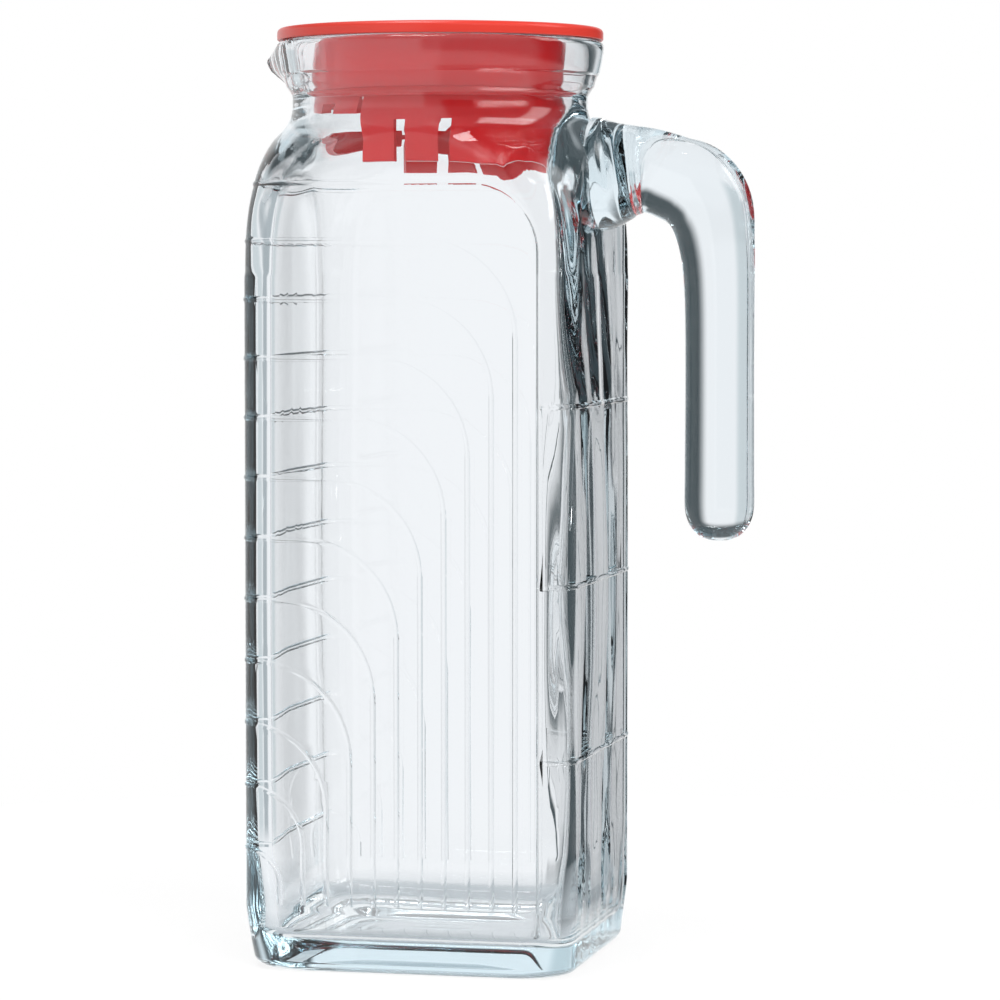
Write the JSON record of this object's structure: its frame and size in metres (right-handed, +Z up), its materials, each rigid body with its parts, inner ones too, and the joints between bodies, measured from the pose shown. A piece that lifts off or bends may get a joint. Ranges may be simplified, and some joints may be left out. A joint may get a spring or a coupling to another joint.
{
  "type": "glass pitcher with lid",
  "caption": "Square-sided glass jug with arched ribs, a hooked open glass handle and a turning plastic plug lid that opens and shuts the spout.",
  "frame": {"origin": "middle of the jug's underside, on the surface that it stands on", "axes": "+X from the spout to the handle, -Y the ribbed front, +Z up"},
  "size_m": [0.1317, 0.0866, 0.2452],
  "materials": {
    "glass": "clear pressed glass with a faint blue-green tint",
    "cap_plastic": "orange-red moulded plastic, soft gloss",
    "plug_plastic": "red moulded plastic, soft gloss",
    "seal": "soft red ring, satin"
  },
  "bodies": {
    "pitcher": {"glass_body": "glass", "handle": "glass"},
    "seal": {"seal_ring": "seal"},
    "lid": {"lid_cap": "cap_plastic", "lid_plug": "plug_plastic"}
  },
  "joints": [
    {"name": "lid_lift", "type": "slide", "parent": "pitcher", "child": "seal", "axis": [0, 0, 1], "range_m": [0, 0.045]},
    {"name": "lid_turn", "type": "hinge", "parent": "seal", "child": "lid", "pos_m": [0, 0, 0], "axis": [0, 0, 1], "continuous": true}
  ]
}
